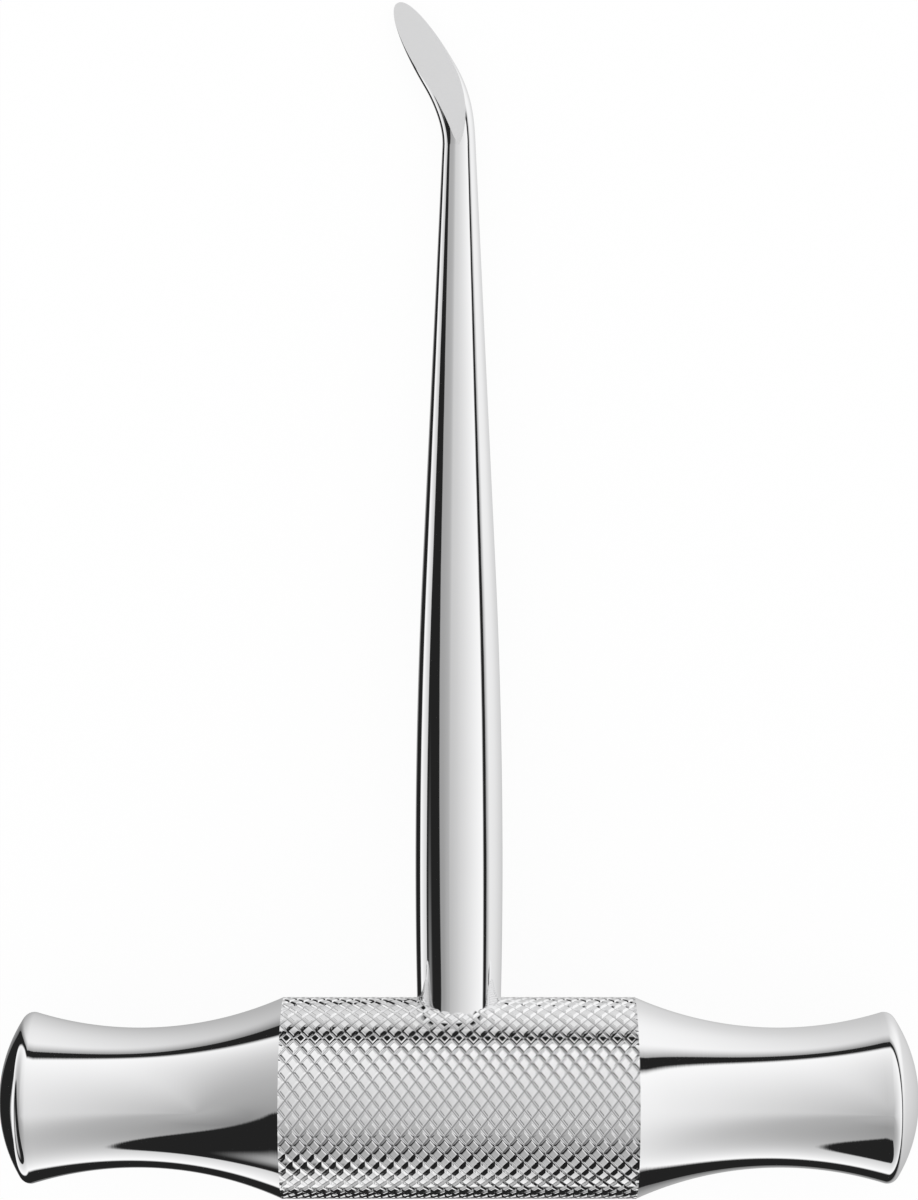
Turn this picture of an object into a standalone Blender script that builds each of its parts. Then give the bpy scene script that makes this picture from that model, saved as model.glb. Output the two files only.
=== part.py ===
"""Cross-bar root elevator, a hand instrument in polished stainless steel.

Two solids make it up. The cross-bar handle is one turned bar with a knurled grip, waisted arms and domed
ends. The shank is one forged and turned bar: a round tang brazed into the grip, a long taper, a bent neck
and a blade with one ground face. The instrument lies face up on a flat surface, carried by the grip and by
the back of the blade.

Run it with: blender --background --python part.py
"""

import math

import bmesh
import bpy
from mathutils import Matrix, Vector

MM = 0.001

# Cross-bar handle, turned about X
HANDLE_LENGTH = 84.2 * MM
GRIP_DIAMETER = 18.3 * MM
GRIP_LENGTH = 32.3 * MM
WAIST_DIAMETER = 12.7 * MM
WAIST_FROM_CENTRE = 29.4 * MM
DOME_RADIUS = 13.6 * MM
RIM_FILLET = 0.95 * MM

# Diamond knurl round the grip: its angle is the one between a groove and the handle's axis
KNURL_PITCH = 1.027 * MM
KNURL_ANGLE = math.radians(52.6)
KNURL_DEPTH = 0.2 * MM

# Shank, turned about Y
TANG_DIAMETER = 7.7 * MM
TANG_BELOW_AXIS = 5.0 * MM
TANG_CHAMFER = 0.5 * MM
BELLY_DIAMETER = 8.0 * MM
BELLY_FROM_AXIS = 21.5 * MM
TAPER_FROM_AXIS = 48.5 * MM
NECK_DIAMETER = 3.06 * MM
NECK_FROM_AXIS = 87.4 * MM

# Blade, which turns away to -X from the neck
BEND_RADIUS = 12.8 * MM
BEND_ANGLE = math.radians(30.0)
BLADE_LENGTH = 14.6 * MM
BLADE_WIDTH = 3.5 * MM
WIDEST_FROM_NECK = 6.9 * MM
TIP_BELOW_AXIS = 0.45 * MM
TIP_POWER = 2.1
TIP_FULLNESS = 0.46
EDGE_THINNING = 0.75

# Fit of the tang in its bore, where the braze runs
BRAZE_GAP = 0.3 * MM
BORE_FLOOR_GAP = 0.3 * MM

SHANK_SIDES = 40
STEEL = (0.78, 0.78, 0.79, 1.0)


def clear_scene():
    for obj in list(bpy.data.objects):
        bpy.data.objects.remove(obj, do_unlink=True)


def steel_material(name, roughness):
    material = bpy.data.materials.new(name)
    material.use_nodes = True
    shader = material.node_tree.nodes["Principled BSDF"]
    shader.inputs["Base Color"].default_value = STEEL
    shader.inputs["Metallic"].default_value = 1.0
    shader.inputs["Roughness"].default_value = roughness
    return material


def object_from(bm, name, material, parent):
    """A smooth-shaded object that stays in the instrument's own axes under its parent."""
    bmesh.ops.recalc_face_normals(bm, faces=bm.faces)
    mesh = bpy.data.meshes.new(name)
    bm.to_mesh(mesh)
    bm.free()
    mesh.shade_smooth()
    mesh.set_sharp_from_angle(angle=math.radians(30.0))
    if material:
        mesh.materials.append(material)
    obj = bpy.data.objects.new(name, mesh)
    bpy.context.scene.collection.objects.link(obj)
    obj.parent = parent
    return obj


def cut_with(obj, cutter):
    """Subtracts a helper that no render shows."""
    cutter.hide_render = True
    cutter.display_type = "WIRE"
    modifier = obj.modifiers.new(cutter.name, "BOOLEAN")
    modifier.operation = "DIFFERENCE"
    modifier.solver = "EXACT"
    modifier.object = cutter


def skin(bm, first, second):
    """Quads between two rings of as many corners."""
    for i in range(len(first)):
        j = (i + 1) % len(first)
        bm.faces.new((first[i], first[j], second[j], second[i]))


def fan(bm, ring, point):
    """Triangles that close a ring on a point."""
    for i in range(len(ring)):
        bm.faces.new((ring[i], ring[(i + 1) % len(ring)], point))


def circles_meet(centre_a, radius_a, centre_b, radius_b):
    """The meeting point of two circles that lies to the left of the line from the first to the second."""
    line = centre_b - centre_a
    along = (radius_a**2 - radius_b**2 + line.length_squared) / (2 * line.length)
    across = math.sqrt(radius_a**2 - along**2)
    unit = line.normalized()
    return centre_a + unit * along + Vector((-unit.y, unit.x)) * across


def arc_points(centre, radius, first, last, steps):
    """Points on a circle from the first to the last, both of which lie on it."""
    start = math.atan2(first.y - centre.y, first.x - centre.x)
    sweep = math.atan2(last.y - centre.y, last.x - centre.x) - start
    sweep = (sweep + math.pi) % math.tau - math.pi
    angles = [start + sweep * i / steps for i in range(steps + 1)]
    return [centre + Vector((math.cos(a), math.sin(a))) * radius for a in angles]


def arm_profile():
    """(x, radius) of one arm from the edge of the grip to the end of the handle.

    One hollow arc runs from the grip through the waist to the rim, a fillet turns over the rim, and the
    dome closes the end on the axis.
    """
    waist_radius = WAIST_DIAMETER / 2
    rise = GRIP_DIAMETER / 2 - waist_radius
    run = WAIST_FROM_CENTRE - GRIP_LENGTH / 2
    hollow_radius = (run**2 + rise**2) / (2 * rise)
    hollow = Vector((WAIST_FROM_CENTRE, waist_radius + hollow_radius))
    dome = Vector((HANDLE_LENGTH / 2 - DOME_RADIUS, 0.0))
    rim = circles_meet(hollow, hollow_radius + RIM_FILLET, dome, DOME_RADIUS - RIM_FILLET)
    on_hollow = hollow + (rim - hollow) * hollow_radius / (hollow_radius + RIM_FILLET)
    on_dome = dome + (rim - dome) * DOME_RADIUS / (DOME_RADIUS - RIM_FILLET)
    grip_edge = Vector((GRIP_LENGTH / 2, GRIP_DIAMETER / 2))
    end = Vector((HANDLE_LENGTH / 2, 0.0))
    points = arc_points(hollow, hollow_radius, grip_edge, on_hollow, 8)
    points += arc_points(rim, RIM_FILLET, on_hollow, on_dome, 3)[1:]
    points += arc_points(dome, DOME_RADIUS, on_dome, end, 4)[1:]
    return points


def knurl_counts():
    """(grooves of each hand round the grip, diamonds along it), both whole numbers."""
    around = round(math.pi * GRIP_DIAMETER * math.cos(KNURL_ANGLE) / KNURL_PITCH)
    along = round(GRIP_LENGTH * math.sin(KNURL_ANGLE) / KNURL_PITCH)
    return around, along


def handle_ring(bm, x, radii):
    """One ring of the handle, square to its axis, with a radius for each of its corners."""
    verts = []
    for i, radius in enumerate(radii):
        angle = math.tau * i / len(radii)
        verts.append(bm.verts.new((x, radius * math.sin(angle), radius * math.cos(angle))))
    return verts


def knurled_rings(bm, around, along):
    """Rings half a diamond apart whose corners lie in turn on a diamond's point and where grooves cross.

    The grooves run out at both ends of the grip, where the ring is plain.
    """
    point = GRIP_DIAMETER / 2
    crossing = point - KNURL_DEPTH
    rings = []
    for j in range(2 * along + 1):
        x = GRIP_LENGTH * (j / (2 * along) - 0.5)
        at_edge = j in (0, 2 * along)
        radii = [point if at_edge or (i + j) % 2 else crossing for i in range(2 * around)]
        rings.append(handle_ring(bm, x, radii))
    return rings


def skin_knurl(bm, rings):
    """Triangles between the knurled rings, whose shared edges follow the grooves."""
    for j, (near, far) in enumerate(zip(rings, rings[1:])):
        for i in range(len(near)):
            k = (i + 1) % len(near)
            if (i + j) % 2:
                bm.faces.new((near[i], near[k], far[i]))
                bm.faces.new((near[k], far[k], far[i]))
            else:
                bm.faces.new((near[i], near[k], far[k]))
                bm.faces.new((near[i], far[k], far[i]))


def skin_arm(bm, first_ring, points, side):
    """One arm from the edge of the grip to the pole of its dome, on the side of +X (1) or -X (-1)."""
    last = first_ring
    for point in points[1:-1]:
        following = handle_ring(bm, side * point.x, [point.y] * len(last))
        skin(bm, last, following)
        last = following
    pole = bm.verts.new((side * points[-1].x, 0.0, 0.0))
    fan(bm, last, pole)


def make_handle(material, parent):
    bm = bmesh.new()
    grip = knurled_rings(bm, *knurl_counts())
    skin_knurl(bm, grip)
    points = arm_profile()
    skin_arm(bm, grip[0], points, -1)
    skin_arm(bm, grip[-1], points, 1)
    return object_from(bm, "crossbar_handle", material, parent)


def make_bore_cutter(parent):
    """The blind bore that takes the tang, drilled along Y through the near wall of the grip."""
    floor = -TANG_BELOW_AXIS - BORE_FLOOR_GAP
    mouth = GRIP_DIAMETER
    bm = bmesh.new()
    bmesh.ops.create_cone(
        bm,
        cap_ends=True,
        segments=SHANK_SIDES,
        radius1=TANG_DIAMETER / 2 + BRAZE_GAP,
        radius2=TANG_DIAMETER / 2 + BRAZE_GAP,
        depth=mouth - floor,
        matrix=Matrix.Translation((0.0, (mouth + floor) / 2, 0.0)) @ Matrix.Rotation(-math.pi / 2, 4, "X"),
    )
    return object_from(bm, "bore_cutter", None, parent)


def shank_radius(y):
    """Radius of the round shank: a long swell from the grip, then a straight taper to the neck."""
    belly, neck = BELLY_DIAMETER / 2, NECK_DIAMETER / 2
    if y <= GRIP_DIAMETER / 2:
        return TANG_DIAMETER / 2
    if y <= BELLY_FROM_AXIS:
        share = (BELLY_FROM_AXIS - y) / (BELLY_FROM_AXIS - GRIP_DIAMETER / 2)
        return belly - (belly - TANG_DIAMETER / 2) * share**2
    curve = TAPER_FROM_AXIS - BELLY_FROM_AXIS
    slope = (belly - neck) / (NECK_FROM_AXIS - TAPER_FROM_AXIS + curve / 2)
    if y <= TAPER_FROM_AXIS:
        return belly - slope * (y - BELLY_FROM_AXIS) ** 2 / (2 * curve)
    return neck + slope * (NECK_FROM_AXIS - y)


def centreline(s):
    """(point, sideways direction) of the blade's centreline in plan, s metres past the neck."""
    turned = min(s / BEND_RADIUS, BEND_ANGLE)
    straight = max(s - BEND_RADIUS * BEND_ANGLE, 0.0)
    x = -BEND_RADIUS * (1 - math.cos(turned)) - straight * math.sin(turned)
    y = NECK_FROM_AXIS + BEND_RADIUS * math.sin(turned) + straight * math.cos(turned)
    return Vector((x, y)), Vector((math.cos(turned), math.sin(turned)))


def blade_section(s):
    """(half width, height above, depth below, middle) of the blade s metres past the neck.

    The half width swells to the widest point and then follows a slightly full ellipse to the tip. The back
    thins out faster than that, and the middle sinks along a parabola to the tip.
    """
    neck = NECK_DIAMETER / 2
    swell = min(s / WIDEST_FROM_NECK, 1.0)
    half_width = neck + (BLADE_WIDTH / 2 - neck) * swell**2 * (3 - 2 * swell)
    past = max(s - WIDEST_FROM_NECK, 0.0) / (BLADE_LENGTH - WIDEST_FROM_NECK)
    left = max(1 - past**TIP_POWER, 0.0)
    middle = -TIP_BELOW_AXIS * (s / BLADE_LENGTH) ** 2
    return half_width * left**TIP_FULLNESS, neck * left**TIP_FULLNESS, neck * left**EDGE_THINNING, middle


def ring(bm, middle, side, half_width, above, below):
    """One closed ring of the loft, an oval that stands across the sideways direction."""
    verts = []
    for i in range(SHANK_SIDES):
        angle = math.tau * i / SHANK_SIDES
        height = math.sin(angle)
        across = side * half_width * math.cos(angle)
        lift = height * (above if height > 0 else below)
        verts.append(bm.verts.new((middle.x + across.x, middle.y + across.y, middle.z + lift)))
    return verts


def blade_stations():
    """Distances past the neck: even through the bend, then closing up to the tip."""
    bend = 8
    tip = 12
    bend_length = BEND_RADIUS * BEND_ANGLE
    stations = [bend_length * i / bend for i in range(1, bend + 1)]
    reach = BLADE_LENGTH - bend_length
    return stations + [bend_length + reach * math.sin(math.pi / 2 * i / tip) for i in range(1, tip)]


def face_plane():
    """(point, normal) of the blade's ground face.

    It leaves the top of the neck, falls to the tip, and is level across the line between the two.
    """
    start = Vector((0.0, NECK_FROM_AXIS, NECK_DIAMETER / 2))
    tip_plan, _ = centreline(BLADE_LENGTH)
    tip = Vector((tip_plan.x, tip_plan.y, -TIP_BELOW_AXIS))
    along = tip - start
    level = Vector((along.y, -along.x, 0.0))
    return start, level.cross(along).normalized()


def make_shank(material, parent):
    bm = bmesh.new()
    side = Vector((1.0, 0.0))
    tang_end = -TANG_BELOW_AXIS
    chamfered = TANG_DIAMETER / 2 - TANG_CHAMFER
    rings = [ring(bm, Vector((0.0, tang_end, 0.0)), side, chamfered, chamfered, chamfered)]
    grip_radius = GRIP_DIAMETER / 2
    ys = [tang_end + TANG_CHAMFER, grip_radius]
    ys += [grip_radius + (BELLY_FROM_AXIS - grip_radius) * i / 3 for i in range(1, 4)]
    ys += [BELLY_FROM_AXIS + (TAPER_FROM_AXIS - BELLY_FROM_AXIS) * i / 6 for i in range(1, 7)]
    ys += [NECK_FROM_AXIS]
    for y in ys:
        radius = shank_radius(y)
        rings.append(ring(bm, Vector((0.0, y, 0.0)), side, radius, radius, radius))
    for s in blade_stations():
        plan, side = centreline(s)
        half_width, above, below, middle = blade_section(s)
        rings.append(ring(bm, Vector((plan.x, plan.y, middle)), side, half_width, above, below))
    for first, second in zip(rings, rings[1:]):
        skin(bm, first, second)
    bm.faces.new(rings[0])
    tip_plan, _ = centreline(BLADE_LENGTH)
    tip = bm.verts.new((tip_plan.x, tip_plan.y, -TIP_BELOW_AXIS))
    fan(bm, rings[-1], tip)
    return object_from(bm, "shank_and_blade", material, parent)


def make_face_cutter(parent):
    """The block that grinds the blade's face: its underside is the plane of the face."""
    point, normal = face_plane()
    size = 2 * BLADE_LENGTH
    bm = bmesh.new()
    turn = normal.to_track_quat("Z", "Y").to_matrix().to_4x4()
    place = Matrix.Translation(point) @ turn @ Matrix.Translation((0.0, 0.0, size))
    bmesh.ops.create_cube(bm, size=2 * size, matrix=place)
    return object_from(bm, "face_cutter", None, parent)


def resting_tilt():
    """How far the instrument tips forward about the handle before the back of the blade lands."""
    tilts = []
    for s in blade_stations():
        plan, _ = centreline(s)
        _, _, below, middle = blade_section(s)
        depth = below - middle
        reach = math.hypot(plan.y, depth)
        tilts.append(math.asin(GRIP_DIAMETER / 2 / reach) - math.atan2(depth, plan.y))
    return min(tilts)


def make_instrument_axes():
    """The instrument's own axes, tipped to its rest and centred on the ground it covers."""
    axes = bpy.data.objects.new("instrument_axes", None)
    bpy.context.scene.collection.objects.link(axes)
    tilt = resting_tilt()
    grip_radius = GRIP_DIAMETER / 2
    tip_plan, _ = centreline(BLADE_LENGTH)
    far = tip_plan.y * math.cos(tilt) - TIP_BELOW_AXIS * math.sin(tilt)
    axes.rotation_euler = (-tilt, 0.0, 0.0)
    axes.location = (0.0, (grip_radius - far) / 2, grip_radius)
    return axes


def main():
    clear_scene()
    polished = steel_material("polished_steel", 0.06)
    satin = steel_material("ground_steel", 0.12)
    axes = make_instrument_axes()
    handle = make_handle(polished, axes)
    cut_with(handle, make_bore_cutter(axes))
    shank = make_shank(satin, axes)
    cut_with(shank, make_face_cutter(axes))


main()
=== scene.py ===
"""Cross-bar root elevator in polished steel, lying face up in a light tent.

The handle is one turned bar: a knurled grip between two waisted arms with domed ends. The shank is one
forged and turned bar: a round tang set into the grip, a long taper, a bent neck and a blade with one ground
face. Every surface is worked out with numpy from the instrument's own sizes, in the instrument's own axes:
X along the handle, Y along the shank, Z out of the blade's face. Those axes are then tipped to the way the
instrument rests, on the grip and on the back of the blade.
"""

import math

import bpy
import numpy as np
from bpy.props import FloatProperty, FloatVectorProperty, IntProperty, PointerProperty
from mathutils import Matrix, Vector


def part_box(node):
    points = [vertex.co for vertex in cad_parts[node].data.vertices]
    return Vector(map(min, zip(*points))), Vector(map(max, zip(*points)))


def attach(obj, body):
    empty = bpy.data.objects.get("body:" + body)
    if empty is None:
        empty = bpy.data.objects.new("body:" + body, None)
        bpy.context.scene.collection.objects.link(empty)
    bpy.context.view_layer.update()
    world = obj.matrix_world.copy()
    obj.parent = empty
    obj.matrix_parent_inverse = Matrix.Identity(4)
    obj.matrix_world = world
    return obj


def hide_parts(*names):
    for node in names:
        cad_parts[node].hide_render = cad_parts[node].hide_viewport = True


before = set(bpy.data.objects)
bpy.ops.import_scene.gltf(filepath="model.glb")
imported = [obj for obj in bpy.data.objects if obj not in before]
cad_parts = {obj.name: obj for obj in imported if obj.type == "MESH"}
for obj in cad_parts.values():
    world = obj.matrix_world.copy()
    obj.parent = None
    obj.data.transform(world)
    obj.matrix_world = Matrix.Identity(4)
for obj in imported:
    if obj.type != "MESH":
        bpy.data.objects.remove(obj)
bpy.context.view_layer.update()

bl_info = {
    "name": "Cross-bar Elevator",
    "version": (1, 0, 0),
    "blender": (4, 5, 0),
    "location": "3D View > Sidebar > Elevator",
    "description": "Builds a cross-bar root elevator in polished steel and a light tent to show it in",
    "category": "Add Mesh",
}

MM = 0.001
TOUCH = 0.001 * MM
HANDLE_LOW, HANDLE_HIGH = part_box("crossbar_handle")
HANDLE_AXIS = (HANDLE_LOW + HANDLE_HIGH) / 2
FULL_LEVEL, PICTURE_GAMMA = 255, 2.2


def size(name, description, millimetres):
    """A length that the sidebar shows in the scene's own units."""
    return FloatProperty(
        name=name, description=description, default=millimetres * MM, unit="LENGTH", precision=5
    )


def angle(name, description, degrees):
    return FloatProperty(name=name, description=description, default=math.radians(degrees), subtype="ANGLE")


def share(name, description, default):
    return FloatProperty(name=name, description=description, default=default, subtype="FACTOR")


def tint(name, description, default):
    return FloatVectorProperty(
        name=name, description=description, default=default, size=3, subtype="COLOR", min=0.0, max=1.0
    )


class HandleSizes(bpy.types.PropertyGroup):
    """Sizes of the turned bar that the hand holds."""

    length: size("Length", "Handle from dome to dome", (HANDLE_HIGH.x - HANDLE_LOW.x) / MM)
    grip_diameter: size("Grip Diameter", "Over the knurl's flat tops", (HANDLE_HIGH.z - HANDLE_LOW.z) / MM)
    grip_length: size("Grip Length", "Knurled stretch between the arms", 32.3)
    waist_diameter: size("Waist Diameter", "Thinnest place of each arm", 12.7)
    waist_from_centre: size("Waist From Centre", "Where the waist is, from the shank's axis", 29.4)
    dome_radius: size("Dome Radius", "Radius of the domed ends", 13.6)
    rim_fillet: size("Rim Fillet", "Rounding between arm and dome", 0.95)
    grooves: IntProperty(name="Grooves", description="Grooves of each hand round the grip", default=34)
    diamonds: IntProperty(name="Diamonds", description="Diamonds of the knurl along the grip", default=25)
    groove_depth: size("Groove Depth", "From the flat tops to the bottom of a groove", 0.208)
    groove_half: share("Groove Half Width", "Half of a groove's width, as a share of the pitch", 0.2)
    bevel_half: share("Shoulder Half Width", "Half of a shoulder's width, as a share of the pitch", 0.06)
    knurl_turn: angle("Knurl Turn", "How far the knurl is turned about the handle", -3.3)


class ShankSizes(bpy.types.PropertyGroup):
    """Sizes of the round shank, from the tang in the grip to the neck."""

    tang_diameter: size("Tang Diameter", "Where the shank enters the grip", 7.7)
    tang_below_axis: size("Tang Depth", "How far the tang reaches past the handle's axis", 5.0)
    tang_chamfer: size("Tang Chamfer", "Chamfer on the tang's hidden end", 0.5)
    braze_gap: size("Braze Gap", "Gap between the tang and its bore", 0.02)
    bore_floor_gap: size("Bore Floor Gap", "Gap between the tang's end and the floor of its bore", 0.3)
    belly_diameter: size("Belly Diameter", "Thickest place of the shank", 8.0)
    belly_from_axis: size("Belly From Axis", "Where the belly is, from the handle's axis", 21.5)
    taper_from_axis: size("Taper From Axis", "Where the straight taper begins", 48.5)
    neck_diameter: size("Neck Diameter", "Thinnest place, where the bend begins", 3.06)
    neck_from_axis: size("Neck From Axis", "Where the neck is, from the handle's axis", 87.4)


class BladeSizes(bpy.types.PropertyGroup):
    """Sizes of the blade, which turns away to -X from the neck."""

    bend_radius: size("Bend Radius", "Radius of the bend after the neck", 12.8)
    bend_angle: angle("Bend Angle", "How far the blade turns away", 30.0)
    length: size("Length", "Blade along its centreline, from the neck", 14.6)
    width: size("Width", "Blade where it is widest", 3.5)
    widest_from_neck: size("Widest From Neck", "Where it is widest", 6.9)
    tip_below_axis: size("Tip Below Axis", "How far the tip sinks below the shank's axis", 0.45)
    tip_power: share("Tip Power", "How late the outline turns in to the tip", 2.1)
    tip_fullness: share("Tip Fullness", "How round the tip is", 0.46)
    edge_thinning: share("Edge Thinning", "How fast the back thins to the tip", 0.75)
    neck_blend: size("Neck Blend", "Length over which the taper dies out past the neck", 4.0)
    face_start: size("Face Start", "Where the ground face leaves the neck, from the handle's axis", 87.3)
    face_blend: size("Face Blend", "Rounding at the start of the ground face", 0.54)


class SteelLook(bpy.types.PropertyGroup):
    """Colours and finish of the steel."""

    polished: tint("Polished Steel", "Mirror-polished steel", (0.9, 0.9, 0.905))
    ground: tint("Ground Steel", "Face of the blade", (0.86, 0.86, 0.865))
    polish_roughness: share("Polish Roughness", "Roughness of the mirror polish", 0.025)
    ground_roughness: share("Ground Roughness", "Roughness of the ground face", 0.34)


class StudioLook(bpy.types.PropertyGroup):
    """Camera, floor and the light tent round the instrument."""

    lens: FloatProperty(name="Lens", description="Focal length on a 36 mm sensor", default=92.4)
    camera_height: size("Camera Height", "From the instrument's plane, square to it", 283.0)
    camera_up_shank: size("Camera Up The Shank", "From the handle's axis", 45.7)
    tent_radius: size("Tent Radius", "Half the width of the light tent", 10000.0)
    floor_width: size("Floor Width", "Width of the floor", 6000.0)
    white: FloatProperty(name="White Level", description="Brightness of the tent's white", default=1.08)
    dark: FloatProperty(name="Dark Level", description="Brightness of the gaps in the tent", default=0.018)
    window: FloatProperty(name="Window Level", description="Brightness of the frame's window", default=0.5)
    floor_colour: tint("Floor Colour", "Floor where the instrument shades it", (0.98, 0.98, 0.98))
    floor_glow: share("Floor Glow", "Share of the floor's white that shadows don't reach", 0.93)


# Placement


def shank_radius(y, grip_radius, shank):
    """Radius of the round shank y metres from the handle's axis.

    A parabola swells from the tang to the belly, another falls from the belly until its slope is the
    taper's, and the straight taper runs on to the neck.
    """
    tang, belly, neck = shank.tang_diameter / 2, shank.belly_diameter / 2, shank.neck_diameter / 2
    swell = (shank.belly_from_axis - y) / (shank.belly_from_axis - grip_radius)
    curve = shank.taper_from_axis - shank.belly_from_axis
    slope = (belly - neck) / (shank.neck_from_axis - shank.taper_from_axis + curve / 2)
    return np.select(
        [y <= grip_radius, y <= shank.belly_from_axis, y <= shank.taper_from_axis],
        [
            tang + 0 * y,
            belly - (belly - tang) * swell**2,
            belly - slope * (y - shank.belly_from_axis) ** 2 / (2 * curve),
        ],
        neck + slope * (shank.neck_from_axis - y),
    )


def centreline(s, shank, blade):
    """(x, y, sideways x, sideways y) of the centreline s metres past the neck, negative on the shank.

    The shank is straight, the bend is an arc about a point on -X, and the blade goes on straight from it.
    """
    turned = np.clip(s / blade.bend_radius, 0, blade.bend_angle)
    straight = np.maximum(s - blade.bend_radius * blade.bend_angle, 0) + np.minimum(s, 0)
    x = -blade.bend_radius * (1 - np.cos(turned)) - straight * np.sin(turned)
    y = shank.neck_from_axis + blade.bend_radius * np.sin(turned) + straight * np.cos(turned)
    return x, y, np.cos(turned), np.sin(turned)


def section(s, grip_radius, shank, blade):
    """(half width, height above, depth below, middle) of the bar s metres past the neck.

    On the shank all three are its radius. Past the neck the half width swells by a smooth step to the
    widest place and then follows a slightly full ellipse to the tip, the back thins out faster than that,
    and the middle sinks along a parabola. The taper's slope dies out over the neck blend.
    """
    neck = shank.neck_diameter / 2
    round_part = shank_radius(shank.neck_from_axis + s, grip_radius, shank)
    curve = shank.taper_from_axis - shank.belly_from_axis
    slope = (shank.belly_diameter / 2 - neck) / (shank.neck_from_axis - shank.taper_from_axis + curve / 2)
    on_blade = np.maximum(s, 0)
    dying = slope * on_blade * np.clip(1 - on_blade / blade.neck_blend, 0, 1) ** 2
    swell = np.clip(s / blade.widest_from_neck, 0, 1)
    half = neck + (blade.width / 2 - neck) * swell**2 * (3 - 2 * swell) - dying
    past = np.clip((s - blade.widest_from_neck) / (blade.length - blade.widest_from_neck), 0, 1)
    left = 1 - past**blade.tip_power
    middle = -blade.tip_below_axis * (on_blade / blade.length) ** 2
    half = np.where(s < 0, round_part, half * left**blade.tip_fullness)
    above = np.where(s < 0, round_part, neck * left**blade.tip_fullness)
    below = np.where(s < 0, round_part, (neck - dying) * left**blade.edge_thinning)
    return half, above, below, middle


def resting_tilt(grip_radius, shank, blade):
    """How far the instrument tips forward about the grip before the back of the blade lands."""
    tries = 2000
    s = np.linspace(0, blade.length, tries)[:-1]
    _, y, _, _ = centreline(s, shank, blade)
    _, _, below, middle = section(s, grip_radius, shank, blade)
    depth = below - middle
    return float(np.min(np.arcsin(grip_radius / np.hypot(y, depth)) - np.arctan2(depth, y)))


def instrument_axes(scene):
    """The matrix that takes the instrument's own axes to the row frame."""
    grip_radius = scene.elevator_handle.grip_diameter / 2
    tilt = resting_tilt(grip_radius, scene.elevator_shank, scene.elevator_blade)
    return Matrix.Translation((0, HANDLE_AXIS.y, HANDLE_AXIS.z)) @ Matrix.Rotation(-tilt, 4, "X")


# Meshes


def grid_faces(rows, columns):
    """Quads between neighbouring rows of a grid whose columns close on themselves."""
    row, column = np.meshgrid(np.arange(rows - 1), np.arange(columns), indexing="ij")
    following = (column + 1) % columns
    first, second = row * columns, (row + 1) * columns
    quads = (first + column, second + column, second + following, first + following)
    return np.stack(quads, -1).reshape(-1, 4)


def fan_faces(ring, pole):
    """Triangles that close a ring of corners on a pole."""
    return np.stack((ring, np.roll(ring, -1), np.full_like(ring, pole)), -1)


def mesh_from(name, corners, blocks, axes):
    """A mesh in the row frame from corners in the instrument's axes and blocks of faces."""
    placed = corners @ np.array(axes.to_3x3()).T + np.array(axes.translation)
    mesh = bpy.data.meshes.new(name)
    mesh.from_pydata(placed.tolist(), [], [face for block in blocks for face in block.tolist()])
    mesh.update()
    return mesh


def piece_from(mesh, materials):
    """The finished piece: its object stays at the origin, with its place in its mesh."""
    piece = bpy.data.objects.new(mesh.name, mesh)
    bpy.context.scene.collection.objects.link(piece)
    for material in materials:
        mesh.materials.append(material)
    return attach(piece, "root")


def sharpen(mesh, degrees, chains=(), between=None):
    """Smooth shading, broken at edges over that angle, along chains of corners and between marked ones."""
    mesh.shade_smooth()
    mesh.set_sharp_from_angle(angle=math.radians(degrees))
    ends = np.empty(2 * len(mesh.edges), np.int64)
    mesh.edges.foreach_get("vertices", ends)
    ends = np.sort(ends.reshape(-1, 2), axis=1)
    sharp = np.empty(len(mesh.edges), bool)
    mesh.edges.foreach_get("use_edge_sharp", sharp)
    count = len(mesh.vertices)
    for chain in chains:
        links = np.sort(np.stack((chain[:-1], chain[1:]), -1), axis=1)
        sharp |= np.isin(ends @ (count, 1), links @ (count, 1))
    if between is not None:
        sharp |= between[ends].all(axis=1)
    mesh.edges.foreach_set("use_edge_sharp", sharp)


def corner_places(mesh):
    """Where each vertex is."""
    places = np.empty(3 * len(mesh.vertices))
    mesh.vertices.foreach_get("co", places)
    return places.reshape(-1, 3)


def face_corners(mesh):
    """(vertex of each face corner, first corner of each face, face of each corner)."""
    vertices = np.empty(len(mesh.loops), int)
    mesh.loops.foreach_get("vertex_index", vertices)
    sides = np.empty(len(mesh.polygons), int)
    mesh.polygons.foreach_get("loop_total", sides)
    return vertices, np.cumsum(sides) - sides, np.repeat(np.arange(len(sides)), sides)


def unit_rows(vectors):
    """The vectors, each brought to a length of 1."""
    return vectors / (np.linalg.norm(vectors, axis=1, keepdims=True) + 1e-9)


def float_attribute(mesh, name, values):
    attribute = mesh.attributes.new(name, "FLOAT", "POINT")
    attribute.data.foreach_set("value", np.asarray(values, np.float32))


# Handle


def arc(centre, radius, first, last, steps):
    """Points on a circle from the first to the last, both of which lie on it."""
    start = math.atan2(*(first - centre)[::-1])
    sweep = (math.atan2(*(last - centre)[::-1]) - start + math.pi) % math.tau - math.pi
    turns = start + sweep * np.linspace(0, 1, steps + 1)
    return centre + radius * np.stack((np.cos(turns), np.sin(turns)), -1)


def circles_meet(centre_a, radius_a, centre_b, radius_b):
    """The meeting point of two circles that lies to the left of the line from the first to the second."""
    line = centre_b - centre_a
    apart = np.hypot(*line)
    along = (radius_a**2 - radius_b**2 + apart**2) / (2 * apart)
    across = math.sqrt(radius_a**2 - along**2)
    unit = line / apart
    return centre_a + unit * along + np.array((-unit[1], unit[0])) * across


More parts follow.
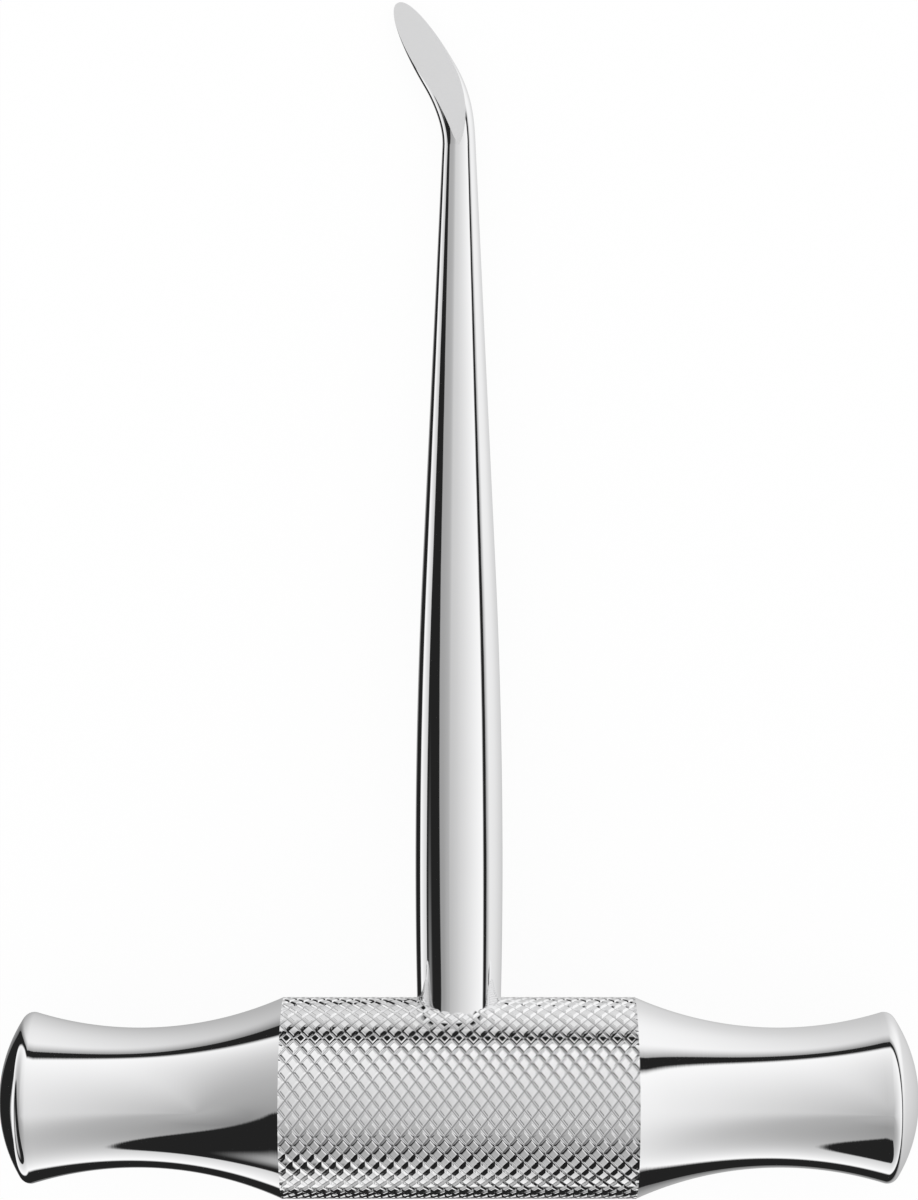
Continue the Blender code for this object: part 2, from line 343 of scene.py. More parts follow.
def arm_profile(handle):
    """(x, radius) of an arm from the edge of the grip to the pole of its dome.

    One hollow arc runs from the grip through the waist to the rim, a fillet turns over the rim, and the
    dome, an arc centred on the axis, closes the end.
    """
    waist, fillet, dome_radius = handle.waist_diameter / 2, handle.rim_fillet, handle.dome_radius
    rise = handle.grip_diameter / 2 - waist
    run = handle.waist_from_centre - handle.grip_length / 2
    hollow_radius = (run**2 + rise**2) / (2 * rise)
    hollow = np.array((handle.waist_from_centre, waist + hollow_radius))
    dome = np.array((handle.length / 2 - dome_radius, 0.0))
    rim = circles_meet(hollow, hollow_radius + fillet, dome, dome_radius - fillet)
    on_hollow = hollow + (rim - hollow) * hollow_radius / (hollow_radius + fillet)
    on_dome = dome + (rim - dome) * dome_radius / (dome_radius - fillet)
    grip_edge = np.array((handle.grip_length / 2, handle.grip_diameter / 2))
    end = np.array((handle.length / 2, 0.0))
    hollow_steps, rim_steps, dome_steps = 40, 12, 24
    parts = (
        arc(hollow, hollow_radius, grip_edge, on_hollow, hollow_steps),
        arc(rim, fillet, on_hollow, on_dome, rim_steps)[1:],
        arc(dome, dome_radius, on_dome, end, dome_steps)[1:],
    )
    return np.concatenate(parts)


def round_bar(x, radius, turn):
    """Corners at x along the handle's axis, at a radius from it and a turn about it from +Z."""
    return np.stack(np.broadcast_arrays(x, radius * np.sin(turn), radius * np.cos(turn)), -1)


def groove_profile(fraction, handle):
    """Depth across one pitch of one hand of grooves: a V at the whole numbers, then a bevel, then flat."""
    away = np.minimum(fraction, 1 - fraction)
    knots = (0, handle.groove_half - handle.bevel_half, handle.groove_half + handle.bevel_half, 1)
    shallow = handle.groove_depth * handle.bevel_half / handle.groove_half
    return np.interp(away, knots, (handle.groove_depth, shallow, 0, 0))


def knurl(handle):
    """Corners, triangles, depths and turns of the diamond knurl.

    Both hands of grooves are counted: u = n turn / 2 pi + x / p and v = n turn / 2 pi - x / p, with n
    grooves round the grip and p the length of a diamond, so a groove runs where u or v is whole. The
    whole pattern is turned a little about the handle. The corners stand where both counts are at one of
    the places of a groove, at a depth that is the deeper of the two grooves' profiles. Each cell is split
    along the crease of a crossing.
    """
    n, diamonds = handle.grooves, handle.diamonds
    inner, outer = handle.groove_half - handle.bevel_half, handle.groove_half + handle.bevel_half
    places = np.array((0, inner, outer, 0.5, 1 - outer, 1 - inner))
    steps = len(places)
    difference, first = np.meshgrid(
        np.arange(-steps * diamonds, steps * diamonds + 1), np.arange(steps * n), indexing="ij"
    )
    second = first - difference
    u = first // steps + places[first % steps]
    v = second // steps + places[second % steps]
    depth = np.maximum(groove_profile(u % 1, handle), groove_profile(v % 1, handle))
    turn = handle.knurl_turn + math.pi * (u + v) / n
    x = (u - v) / (2 * diamonds) * handle.grip_length
    corners = round_bar(x, handle.grip_diameter / 2 - depth, turn)

    rows, columns = depth.shape
    row, column = np.indices(depth.shape)
    following = (column + 1) % columns
    here, beside = row * columns + column, row * columns + following
    ahead, behind = (row + 1) * columns + following, (row - 1) * columns + column
    along = (first % steps < steps // 2) == (second % steps < steps // 2)
    lower, upper = row > 0, row < rows - 1
    triangles = (
        np.stack((here, ahead, beside), -1)[upper & (along | ~lower)],
        np.stack((here, beside, behind), -1)[lower & (along | ~upper)],
        np.stack((here, ahead, behind), -1)[upper & lower & ~along],
        np.stack((ahead, beside, behind), -1)[upper & lower & ~along],
    )
    return corners.reshape(-1, 3), np.concatenate(triangles), depth, turn


def skin_arm(handle, profile, side, edge, edge_depth, edge_turn, first_new):
    """Corners and faces of one arm on the side of +X (1) or -X (-1) of the grip.

    The profile is turned about the handle's axis. Its first ring takes the knurl's own corners where the
    flat tops reach the edge, and closes the ends of the grooves with a wall. The corners of a ring slide
    from the knurl's uneven turns to even ones over the first rings.
    """
    count = len(edge)
    new_edge = edge_depth > 0
    ring = edge.copy()
    ring[new_edge] = first_new + np.arange(new_edge.sum())
    rim = round_bar(side * profile[0, 0], profile[0, 1], edge_turn[new_edge])
    even = edge_turn[0] + math.tau * np.arange(count) / count
    sliding_rings = 5
    slide = np.clip(np.arange(1, len(profile) - 1) / sliding_rings, 0, 1)[:, None]
    slide = slide**2 * (3 - 2 * slide)
    turn = edge_turn * (1 - slide) + even * slide
    body = round_bar(side * profile[1:-1, :1], profile[1:-1, 1:], turn).reshape(-1, 3)
    pole = np.array(((side * profile[-1, 0], 0.0, 0.0),))
    corners = np.concatenate((rim, body, pole))
    start = first_new + len(rim)
    index = np.concatenate((ring, start + np.arange(len(body))))
    quads = index[grid_faces(len(profile) - 1, count)]
    cap = fan_faces(index[-count:], first_new + len(corners) - 1)
    following, ring_following = np.roll(edge, -1), np.roll(ring, -1)
    wall = np.concatenate(
        (
            np.stack((edge, ring_following, following), -1)[ring_following != following],
            np.stack((edge, ring, ring_following), -1)[ring != edge],
        )
    )
    faces = [quads, cap[:, ::-1], wall]
    return corners, faces if side > 0 else [block[:, ::-1] for block in faces]


def handle_mesh(handle, axes):
    """The whole handle as one closed skin, before the bore for the tang is cut."""
    corners, triangles, depth, turn = knurl(handle)
    profile = arm_profile(handle)
    columns = depth.shape[1]
    groove = [depth.ravel()]
    blocks, parts = [triangles], [corners]
    for side, row in ((-1, 0), (1, depth.shape[0] - 1)):
        edge = row * columns + np.arange(columns)
        first_new = sum(len(part) for part in parts)
        more, faces = skin_arm(handle, profile, side, edge, depth[row], turn[row], first_new)
        parts.append(more)
        groove.append(np.zeros(len(more)))
        blocks += faces
    mesh = mesh_from("crossbar_handle_steel", np.concatenate(parts), blocks, axes)
    float_attribute(mesh, "groove", np.concatenate(groove) / handle.groove_depth)
    return mesh


def bore_cutter(handle, shank, axes):
    """A round plug in the shape of the blind bore that takes the tang."""
    sides = 96
    around = np.arange(sides)
    turn = math.tau * around / sides
    radius = shank.tang_diameter / 2 + shank.braze_gap
    y = np.array((-shank.tang_below_axis - shank.bore_floor_gap, handle.grip_diameter))[:, None]
    rings = np.stack(np.broadcast_arrays(radius * np.sin(turn), y, radius * np.cos(turn)), -1)
    faces = [grid_faces(2, sides), around[None], sides + around[None, ::-1]]
    mesh = mesh_from("bore_cutter", rings.reshape(-1, 3), faces, axes)
    cutter = bpy.data.objects.new(mesh.name, mesh)
    bpy.context.scene.collection.objects.link(cutter)
    return cutter


def cut(mesh, cutter):
    """The mesh with the cutter's shape taken out of it."""
    block = bpy.data.objects.new("block", mesh)
    bpy.context.scene.collection.objects.link(block)
    modifier = block.modifiers.new("bore", "BOOLEAN")
    modifier.object = cutter
    depsgraph = bpy.context.evaluated_depsgraph_get()
    result = bpy.data.meshes.new_from_object(block.evaluated_get(depsgraph))
    name, plug = mesh.name, cutter.data
    bpy.data.objects.remove(block)
    bpy.data.objects.remove(cutter)
    bpy.data.meshes.remove(mesh)
    bpy.data.meshes.remove(plug)
    result.name = name
    return result


def knurl_normals(mesh, handle, axes):
    """A normal for each corner of each face, or nought where the mesh's own normal stays.

    A flat top keeps the round grip's normal and a flank of a groove its own. Over a shoulder the normal
    turns from one to the other, so that the shoulder looks round.
    """
    tipped = np.array(axes.to_3x3())
    vertices, first, face = face_corners(mesh)
    own = np.empty(3 * len(mesh.polygons))
    mesh.polygons.foreach_get("normal", own)
    own = (own.reshape(-1, 3) @ tipped)[face]
    groove = np.empty(len(mesh.vertices), np.float32)
    mesh.attributes["groove"].data.foreach_get("value", groove)
    deep = groove[vertices]
    place = ((corner_places(mesh) - np.array(axes.translation)) @ tipped)[vertices]

    radial = unit_rows(place * (0, 1, 1))
    lean = (own * radial).sum(axis=1, keepdims=True)
    sideways = unit_rows(own - radial * lean)
    flank = math.atan2(handle.groove_depth, handle.groove_half * knurl_pitch(handle))
    shallow, outwards = 0.01, 0.5
    tilt = np.where(deep > shallow, flank, 0.0)[:, None]
    rounded = radial * np.cos(tilt) + sideways * np.sin(tilt)
    reaches_top = np.minimum.reduceat(deep, first)[face] < shallow
    normal = np.where(reaches_top[:, None], rounded, own)

    from_surface = np.abs(np.hypot(place[:, 1], place[:, 2]) - handle.grip_diameter / 2)
    on_grip = from_surface < handle.groove_depth + TOUCH
    on_grip &= np.abs(place[:, 0]) < handle.grip_length / 2 - TOUCH
    on_grip &= lean[:, 0] > outwards
    whole = np.minimum.reduceat(on_grip, first)[face]
    return np.where(whole[:, None], normal, 0.0) @ tipped.T


def knurl_pitch(handle):
    """Distance between neighbouring grooves, square to them."""
    along, around = handle.grip_length / handle.diamonds, math.pi * handle.grip_diameter / handle.grooves
    return along * around / math.hypot(along, around)


def finish_knurl(mesh, handle, axes):
    """Crisp edges at the grip's ends, and the knurl's own normals."""
    from_edge = np.abs(corner_places(mesh)[:, 0]) - handle.grip_length / 2
    sharpen(mesh, 30.0, between=np.abs(from_edge) < TOUCH)
    mesh.normals_split_custom_set(knurl_normals(mesh, handle, axes).tolist())


# Shank and blade


def shank_stations(grip_radius, shank, blade):
    """Distances past the neck: sparse in the grip, close about the neck, closing up to the tip."""
    neck = shank.neck_from_axis
    before, after = 2 * MM, 3 * MM
    shank_steps, neck_steps, blade_steps = 90, 40, 72
    tang_end = -shank.tang_below_axis
    hidden = np.array((tang_end, tang_end + shank.tang_chamfer, 0.5 * grip_radius))
    round_part = np.linspace(0.75 * grip_radius, neck - before, shank_steps)
    about_neck = np.linspace(neck - before, neck + after, neck_steps)[1:]
    closing_up = np.sin(np.linspace(0, math.pi / 2, blade_steps))[1:-1]
    to_tip = neck + after + (blade.length - after) * closing_up
    return np.concatenate((hidden, round_part, about_neck, to_tip)) - neck


def ground_face(x, y, side_x, side_y, shank, blade):
    """(height, cross slope) of the ground face over the centreline, and how far past its start.

    The face falls from the top of the neck to the tip and is level across the line between them. Its
    drop is k (sqrt(d^2 + c^2) - c) at a distance d, so it leaves the neck softly and is then flat.
    """
    tip_x, tip_y, _, _ = centreline(np.array(blade.length), shank, blade)
    run = np.array((tip_x, tip_y - blade.face_start))
    length = np.hypot(*run)
    unit = run / length
    soft = blade.face_blend
    fall = (shank.neck_diameter / 2 + blade.tip_below_axis) / (math.hypot(length, soft) - soft)
    past = np.maximum(x * unit[0] + (y - blade.face_start) * unit[1], 0)
    height = shank.neck_diameter / 2 - fall * (np.hypot(past, soft) - soft)
    steepness = fall * past / np.hypot(past, soft)
    return height, -steepness * (side_x * unit[0] + side_y * unit[1]), past


def shank_mesh(grip_radius, shank, blade, axes):
    """The shank and blade as one skin, a section carried along the centreline.

    Gives the mesh, the two chains of corners along the face's edges, and a 1 for each corner on the face.
    The section is an oval, x = half width cos t and z = height sin t, whose lower half has a depth of its
    own. Where the ground face cuts it, the two edges of the face are columns of the grid: the oval runs
    under them from one to the other and straight columns cross between them on the face.
    """
    s = shank_stations(grip_radius, shank, blade)
    x, y, side_x, side_y = centreline(s, shank, blade)
    half, above, below, middle = section(s, grip_radius, shank, blade)
    chamfered = s < s[1]
    half, above, below = (r - shank.tang_chamfer * chamfered for r in (half, above, below))
    height, cross, past = ground_face(x, y, side_x, side_y, shank, blade)
    height = height - middle
    reach = np.hypot(above, cross * half)
    lean = np.arctan2(cross * half, above)
    narrowest = math.radians(2.0)
    opening = np.where(past > 0, np.arccos(np.clip(height / reach, -1, 1)), 0)
    opening = np.maximum(opening, narrowest)
    left, right = math.pi / 2 + lean + opening, math.pi / 2 + lean - opening + math.tau

    round_steps, face_steps = 112, 12
    t = left[:, None] + (right - left)[:, None] * np.linspace(0, 1, round_steps + 1)
    across = half[:, None] * np.cos(t)
    up = np.sin(t) * np.where(np.sin(t) > 0, above[:, None], below[:, None])
    steps = np.linspace(0, 1, face_steps + 1)[1:-1]
    face_across = across[:, -1:] + (across[:, :1] - across[:, -1:]) * steps
    oval = above[:, None] * np.sqrt(np.clip(1 - (face_across / half[:, None]) ** 2, 0, 1))
    plane = np.where(past[:, None] > 0, height[:, None] + cross[:, None] * face_across, 1)
    face_up = np.minimum(oval, plane)
    across = np.concatenate((across, face_across), 1)
    up = np.concatenate((up, face_up), 1)
    along_x = x[:, None] + across * side_x[:, None]
    along_y = y[:, None] + across * side_y[:, None]
    corners = np.stack((along_x, along_y, middle[:, None] + up), -1)

    rows, columns = across.shape
    tip_x, tip_y, _, _ = centreline(np.array(blade.length), shank, blade)
    poles = np.array(((0, -shank.tang_below_axis, 0), (tip_x, tip_y, -blade.tip_below_axis)))
    last = rows * columns
    first_ring, last_ring = np.arange(columns), last - columns + np.arange(columns)
    blocks = [
        grid_faces(rows, columns),
        fan_faces(first_ring, last),
        fan_faces(last_ring, last + 1)[:, ::-1],
    ]
    mesh = mesh_from("shank_and_blade_steel", np.concatenate((corners.reshape(-1, 3), poles)), blocks, axes)
    on_face = np.zeros((rows, columns))
    on_face[past > 0, round_steps:] = 1
    on_face[past > 0, 0] = 1
    begin = np.argmax(past > 0) - 1
    face_rows = np.arange(begin, rows)
    chains = [np.append(face_rows * columns + k, last + 1) for k in (0, round_steps)]
    return mesh, chains, np.append(on_face.ravel(), (0, 1))


# Shaders


class Value:
    """An output of a shader tree. Sums written with it add Math nodes."""

    def __init__(self, sheet, socket):
        self.sheet, self.socket = sheet, socket

    def math(self, operation, *others):
        return self.sheet.math(operation, self, *others)

    def __add__(self, other):
        return self.math("ADD", other)

    def __sub__(self, other):
        return self.math("SUBTRACT", other)

    def __rsub__(self, other):
        return self.sheet.math("SUBTRACT", other, self)

    def __mul__(self, other):
        return self.math("MULTIPLY", other)

    def __truediv__(self, other):
        return self.math("DIVIDE", other)

    def __rtruediv__(self, other):
        return self.sheet.math("DIVIDE", other, self)

    def __pow__(self, other):
        return self.math("POWER", other)

    def __rpow__(self, other):
        return self.sheet.math("POWER", other, self)

    __radd__, __rmul__ = __add__, __mul__

    def smooth(self, low, high):
        """0 below low and 1 above high, with a smooth step between."""
        return self.sheet.node(
            "ShaderNodeMapRange",
            {"interpolation_type": "SMOOTHSTEP"},
            {"Value": self, "From Min": low, "From Max": high},
        )

    def mix(self, first, second):
        """The first where this is 0, the second where it is 1."""
        return first + (second - first) * self


class Sheet:
    """A shader tree that starts empty."""

    def __init__(self, owner):
        owner.use_nodes = True
        self.tree = owner.node_tree
        self.tree.nodes.clear()

    def node(self, kind, settings=None, sockets=None, output=0):
        """Adds a node, its settings first and then its sockets' values or links, and gives one output."""
        made = self.tree.nodes.new(kind)
        for key, value in (settings or {}).items():
            setattr(made, key, value)
        for key, value in (sockets or {}).items():
            if isinstance(value, Value):
                self.tree.links.new(value.socket, made.inputs[key])
            else:
                made.inputs[key].default_value = value
        return Value(self, made.outputs[output]) if made.outputs else None

    def math(self, operation, *terms):
        return self.node("ShaderNodeMath", {"operation": operation}, dict(enumerate(terms)))

    def dot(self, vector, direction):
        return self.node(
            "ShaderNodeVectorMath", {"operation": "DOT_PRODUCT"}, {0: vector, 1: tuple(direction)}, "Value"
        )


def noise(sheet, place, scale, detail=2.0, stretch=(1, 1, 1)):
    """Noise from 0 to 1 at a place, with its grain drawn out along the axes where the stretch is small."""
    drawn = sheet.node("ShaderNodeVectorMath", {"operation": "MULTIPLY"}, {0: place, 1: stretch})
    return sheet.node(
        "ShaderNodeTexNoise", {}, {"Vector": drawn, "Scale": scale, "Detail": detail, "Roughness": 0.55}
    )


def instrument_place(sheet, axes):
    """Object coordinates turned into the instrument's own axes."""
    place = sheet.node("ShaderNodeTexCoord", output="Object")
    inverse = axes.inverted()
    return sheet.node(
        "ShaderNodeMapping",
        {},
        {"Vector": place, "Location": inverse.translation, "Rotation": inverse.to_euler()},
    )


def steel(name, colour, axes, finish):
    """A steel whose shade, roughness and height come from a finish at a place on the instrument."""
    material = bpy.data.materials.new(name)
    sheet = Sheet(material)
    place = instrument_place(sheet, axes)
    shade, roughness, height, distance = finish(sheet, place)
    grey = sheet.node("ShaderNodeCombineColor", {}, {"Red": shade, "Green": shade, "Blue": shade})
    colour_a, colour_b, mixed_colour = 6, 7, 2
    base = sheet.node(
        "ShaderNodeMix",
        {"data_type": "RGBA", "blend_type": "MULTIPLY"},
        {"Factor": 1.0, colour_a: (*colour, 1.0), colour_b: grey},
        mixed_colour,
    )
    normal = sheet.node("ShaderNodeBump", {}, {"Strength": 1.0, "Distance": distance, "Height": height})
    surface = sheet.node(
        "ShaderNodeBsdfPrincipled",
        {},
        {"Base Color": base, "Metallic": 1.0, "Roughness": roughness, "Normal": normal},
    )
    sheet.node("ShaderNodeOutputMaterial", {}, {"Surface": surface})
    return material


def turned_polish(look):
    """Mirror polish over faint turning rings about X; the knurl's grooves are rougher than its tops, and
    their bottoms are darkened with painted shade.
    """

    def finish(sheet, place):
        groove = sheet.node("ShaderNodeAttribute", {"attribute_name": "groove"}, output="Fac")
        cloud = noise(sheet, place, 350.0, 3.0)
        rings = noise(sheet, place, 1.0, 2.0, (9000.0, 60.0, 60.0))
        grain = noise(sheet, place, 14000.0, 1.0)
        roughness = look.polish_roughness + 0.012 * cloud + 0.01 * groove * (0.6 + 0.4 * grain)
        # Painted shade: the base colour darkens by up to 0.4 at the bottoms of the knurl's grooves.
        shade = 1.0 - 0.02 * cloud - 0.4 * groove.smooth(0.72, 0.98)
        height = rings * 0.4 + grain * groove * 0.1
        return shade, roughness, height, 0.002 * MM

    return finish


def drawn_polish(look):
    """Mirror polish over faint lines drawn along the shank."""

    def finish(sheet, place):
        cloud = noise(sheet, place, 300.0, 3.0)
        lines = noise(sheet, place, 1.0, 2.0, (9000.0, 120.0, 9000.0))
        return 1.0 - 0.02 * cloud, look.polish_roughness + 0.012 * cloud, lines, 0.0006 * MM

    return finish


def ground_finish(look):
    """Fine grinding lines straight across the blade."""

    def finish(sheet, place):
        cloud = noise(sheet, place, 400.0, 2.0)
        lines = noise(sheet, place, 1.0, 3.0, (2500.0, 16000.0, 2500.0))
        roughness = look.ground_roughness + 0.05 * (lines - 0.5) + 0.03 * (cloud - 0.5)
        return 1.0 - 0.03 * lines, roughness, lines, 0.002 * MM

    return finish


# Studio


def tent_axes(axes):
    """(centre of the front light, towards the lens from it, square to both), in the row frame."""
    lean, swing = math.radians(30.0), math.radians(212.4)
    centre = Vector((math.sin(lean) * math.cos(swing), math.sin(lean) * math.sin(swing), math.cos(lean)))
    up = Vector((0, 0, 1))
    first = (up - centre * centre.dot(up)).normalized()
    return [axes.to_3x3() @ way for way in (centre, first, centre.cross(first))]


def far_side(turn, offset):
    """0 where the turn about the front light's centre is the offset, on the lens's side, and 1 opposite."""
    return 0.5 - 0.5 * ((turn - offset) * math.radians(1)).math("COSINE")


def light_of(level):
    """The light that comes out at a level from 0 to 255 of the finished picture."""
    return (level / FULL_LEVEL) ** PICTURE_GAMMA


def front_light(away, far):
    """Light of the round front field.

    Its level is 255 - d (1 - (away / rim)^p): white at the rim and greyer in the middle. The depth d and
    the power p change from the lens's side to the far side, where the middle is greyest.
    """
    rim, middle = 92.0, 16.0
    power = 0.65 + 2.35 * far.smooth(0.1, 0.5) * (1 - 0.65 * far.smooth(0.55, 1.0))
    depth = 84 - 6 * far.smooth(0.0, 0.5) + 52 * far**2.5 * (away / middle).math("MINIMUM", 1.0)
    return light_of(FULL_LEVEL - depth * (1 - (away / rim).math("MINIMUM", 1.0) ** power))


def wall_light(away, far):
    """Light of the wall behind: whiter on the lens's side, and even opposite the front light."""
    lens_side, lost_on_far_side, opposite = 252, 92, 218
    return light_of(away.smooth(130, 180).mix(lens_side - lost_on_far_side * far, opposite))


def gap_shares(away, turn, far):
    """(share of the front light, share of the wall) that is seen past the edges of the dark gap.

    The gap is about 10 degrees wide beside the lens and widens towards the far side. Next to the lens both
    of its edges lie a little further out, and a quarter turn from it a little further in. The front light
    ends softly, and the wall begins with a crisp edge and brightens over the next degrees.
    """
    beside = turn.smooth(-75, -5) * (1 - turn.smooth(5, 75))
    quarter = turn.smooth(48, 74) * (1 - turn.smooth(100, 125))
    gap_start = 91.1 + 6.5 * far**2 + 0.8 * beside - 1.1 * quarter
    gap_end = 101 + 29 * far_side(turn, 10.0) ** 2 + 4.2 * beside - 1.6 * quarter
    past_start, past_end = away - gap_start, away - gap_end
    crisp_edge = past_end.smooth(-3.2, -2.0)
    soft_rise = 0.22 + 0.78 * past_end.smooth(-8, 11)
    return 1 - past_start.smooth(-2.5, 2.5), crisp_edge * soft_rise


def from_oval(place, centre, reach):
    """1 on the outline of an oval about the centre, less inside it and more outside."""
    (x, y), (centre_x, centre_y), (reach_x, reach_y) = place, centre, reach
    return (((x - centre_x) / reach_x) ** 2 + ((y - centre_y) / reach_y) ** 2) ** 0.5


def frame_place(sheet, way, centre, first, second):
    """Where a way lies in a flat picture of the tent about the middle of the dark frame.

    The picture is stereographic: each of its two axes is (way . axis) / (1 + way . middle).
    """
    reach = math.radians(43.5)
    middle = centre * math.cos(reach) - first * math.sin(reach)
    outwards = -centre * math.sin(reach) - first * math.cos(reach)
    ahead = 1 + sheet.dot(way, middle)
    return sheet.dot(way, outwards) / ahead, sheet.dot(way, second) / ahead


def tent_material(look, axes):
    """The light of the tent by direction.

    A round front light is parted by a dark gap from the pale wall behind. A dark frame with a paler
    window hangs in the front light on the far side from the lens. Angles are in degrees: away is the one
    from the front light's centre, and turn goes about that centre.
    """
    material = bpy.data.materials.new("light_tent")
    material.cycles.emission_sampling = "NONE"
    sheet = Sheet(material)
    place = sheet.node("ShaderNodeTexCoord", output="Object")
    way = sheet.node("ShaderNodeVectorMath", {"operation": "NORMALIZE"}, {0: place})
    centre, first, second = tent_axes(axes)
    away = sheet.dot(way, centre).math("ARCCOSINE") * math.degrees(1)
    turn = sheet.dot(way, second).math("ARCTAN2", sheet.dot(way, first)) * math.degrees(1)
    far = far_side(turn, 8.0)
    front_share, wall_share = gap_shares(away, turn, far)
    lit = front_light(away, far) * front_share + wall_light(away, far) * wall_share
    light = (lit * look.white).math("MAXIMUM", look.dark)

    frame_centre, frame_reach = (0.0, -0.035), (0.238, 0.485)
    window_centre, window_reach = (0.088, -0.02), (0.105, 0.29)
    in_picture = frame_place(sheet, way, centre, first, second)
    past_frame = from_oval(in_picture, frame_centre, frame_reach).smooth(0.955, 1.03)
    past_window = from_oval(in_picture, window_centre, window_reach).smooth(0.4, 1.1)
    light = past_frame.mix(look.dark, light) + (1 - past_window) * look.window
    glow = sheet.node("ShaderNodeEmission", {}, {"Strength": light})
    sheet.node("ShaderNodeOutputMaterial", {}, {"Surface": glow})
    return material


def tent_mesh(radius):
    """A ball seen from inside: x, y, z of a sphere by latitude and longitude."""
    rings, around = 31, 64
    latitude = np.linspace(-math.pi / 2, math.pi / 2, rings + 2)[1:-1, None]
    longitude = math.tau * np.arange(around) / around
    parts = (np.cos(latitude) * np.cos(longitude), np.cos(latitude) * np.sin(longitude), np.sin(latitude))
    corners = radius * np.stack(np.broadcast_arrays(*parts), -1).reshape(-1, 3)
    poles = np.array(((0, 0, -radius), (0, 0, radius)))
    south = len(corners)
    lowest, highest = np.arange(around), south - around + np.arange(around)
    faces = [grid_faces(rings, around), fan_faces(lowest, south), fan_faces(highest, south + 1)]
    return mesh_from("light_tent", np.concatenate((corners, poles)), faces, Matrix.Identity(4))


def floor_material(look):
    """White paper that glows to the lens and keeps the shadow in the rest."""
    material = bpy.data.materials.new("floor_paper")
    sheet = Sheet(material)
    kinds = ("Camera", "Glossy", "Transmission")
    camera, glossy, through = (sheet.node("ShaderNodeLightPath", output=f"Is {kind} Ray") for kind in kinds)
    seen = (camera + glossy + through).math("MINIMUM", 1.0)
    paper = sheet.node("ShaderNodeBsdfDiffuse", {}, {"Color": (*look.floor_colour, 1.0)})
    glow = sheet.node("ShaderNodeEmission", {}, {"Strength": 1.0})
    mixed = sheet.node("ShaderNodeMixShader", {}, {0: seen * look.floor_glow, 1: paper, 2: glow})
    sheet.node("ShaderNodeOutputMaterial", {}, {"Surface": mixed})
    return material


def stage_piece(mesh, material):
    """A piece of the stage, which isn't part of the instrument."""
    piece = bpy.data.objects.new(mesh.name, mesh)
    mesh.materials.append(material)
    bpy.context.scene.collection.objects.link(piece)
    return piece


# Operators


class ELEVATOR_OT_handle(bpy.types.Operator):
    """Builds the turned handle with its knurl and the bore for the tang"""

    bl_idname = "elevator.handle"
    bl_label = "Cross-bar Handle"

    def execute(self, context):
        scene = context.scene
        handle, shank, look = scene.elevator_handle, scene.elevator_shank, scene.elevator_steel
        axes = instrument_axes(scene)
        mesh = cut(handle_mesh(handle, axes), bore_cutter(handle, shank, axes))
        finish_knurl(mesh, handle, axes)
        material = steel("turned_polished_steel", look.polished, axes, turned_polish(look))
        piece = piece_from(mesh, [material])
        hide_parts("crossbar_handle")
        return {"FINISHED"}


class ELEVATOR_OT_shank(bpy.types.Operator):
    """Builds the shank and its blade, with the ground face"""

    bl_idname = "elevator.shank"
    bl_label = "Shank and Blade"

    def execute(self, context):
        scene = context.scene
        look = scene.elevator_steel
        axes = instrument_axes(scene)
        grip_radius = scene.elevator_handle.grip_diameter / 2
        mesh, chains, on_face = shank_mesh(grip_radius, scene.elevator_shank, scene.elevator_blade, axes)
        sharpen(mesh, 25.0, chains)
        piece = piece_from(mesh, [
            steel("drawn_polished_steel", look.polished, axes, drawn_polish(look)),
            steel("ground_steel", look.ground, axes, ground_finish(look)),
        ])
        vertices, first, _ = face_corners(mesh)
        ground = np.minimum.reduceat(on_face[vertices], first)
        mesh.polygons.foreach_set("material_index", ground.astype(np.int32))
        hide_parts("shank_and_blade")
        return {"FINISHED"}


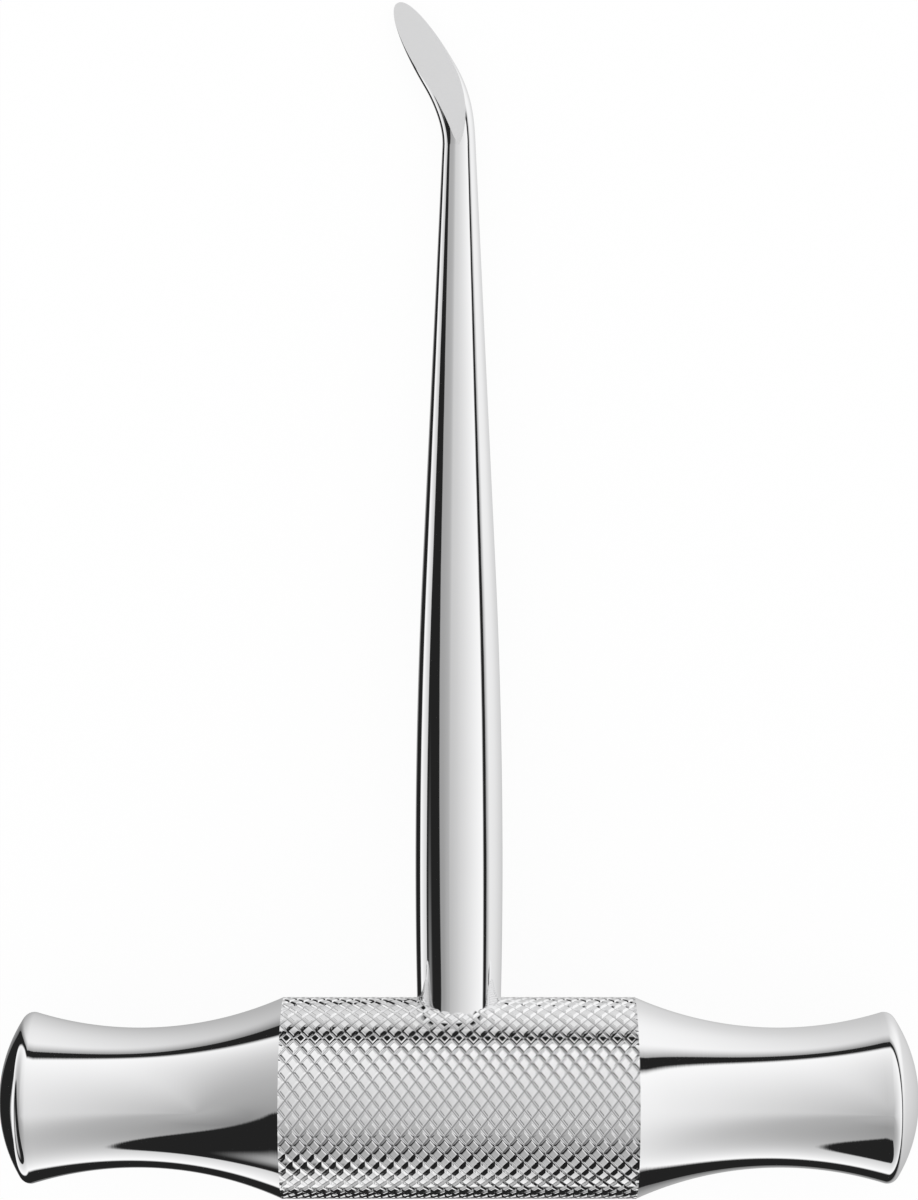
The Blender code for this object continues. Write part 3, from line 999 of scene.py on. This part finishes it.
class ELEVATOR_OT_stage(bpy.types.Operator):
    """Sets up the floor, the light tent, the white surround and the camera"""

    bl_idname = "elevator.stage"
    bl_label = "Studio Stage"

    def execute(self, context):
        scene = context.scene
        look = scene.elevator_studio
        axes = instrument_axes(scene)
        half = look.floor_width / 2
        corners = np.array(((-half, -half, 0), (half, -half, 0), (half, half, 0), (-half, half, 0)))
        sheet_of_paper = mesh_from("floor", corners, [np.array(((0, 1, 2, 3),))], Matrix.Identity(4))
        floor = stage_piece(sheet_of_paper, floor_material(look))
        floor.visible_glossy = False
        tent = stage_piece(tent_mesh(look.tent_radius), tent_material(look, axes))
        tent.visible_camera = tent.visible_diffuse = tent.visible_shadow = False
        world = bpy.data.worlds.new("white_surround")
        scene.world = world
        world.cycles_visibility.glossy = False
        sheet = Sheet(world)
        white = sheet.node("ShaderNodeBackground", {}, {"Color": (1, 1, 1, 1)})
        sheet.node("ShaderNodeOutputWorld", {}, {"Surface": white})
        camera = bpy.data.objects.new("camera", bpy.data.cameras.new("camera"))
        camera.data.lens = look.lens
        camera.data.sensor_width = 36.0
        camera.data.clip_start = 0.01
        camera.matrix_world = axes @ Matrix.Translation((0, look.camera_up_shank, look.camera_height))
        scene.collection.objects.link(camera)
        scene.camera = camera
        scene.view_settings.view_transform = "Standard"
        return {"FINISHED"}


class ELEVATOR_PT_panel(bpy.types.Panel):
    """The elevator's pieces and their sizes"""

    bl_label = "Cross-bar Elevator"
    bl_space_type = "VIEW_3D"
    bl_region_type = "UI"
    bl_category = "Elevator"

    def draw(self, context):
        for operator in OPERATORS:
            self.layout.operator(operator.bl_idname)
        for name, group in GROUPS.items():
            box = self.layout.box()
            box.label(text=group.__doc__)
            for key in group.__annotations__:
                box.prop(getattr(context.scene, name), key)


OPERATORS = (ELEVATOR_OT_handle, ELEVATOR_OT_shank, ELEVATOR_OT_stage)
GROUPS = {
    "elevator_handle": HandleSizes,
    "elevator_shank": ShankSizes,
    "elevator_blade": BladeSizes,
    "elevator_steel": SteelLook,
    "elevator_studio": StudioLook,
}
CLASSES = (*GROUPS.values(), *OPERATORS, ELEVATOR_PT_panel)


def register():
    for cls in CLASSES:
        bpy.utils.register_class(cls)
    for name, group in GROUPS.items():
        setattr(bpy.types.Scene, name, PointerProperty(type=group))


def unregister():
    for name in GROUPS:
        delattr(bpy.types.Scene, name)
    for cls in reversed(CLASSES):
        bpy.utils.unregister_class(cls)


def main():
    register()
    bpy.ops.elevator.handle()
    bpy.ops.elevator.shank()
    bpy.ops.elevator.stage()


if __name__ == "__main__":
    main()
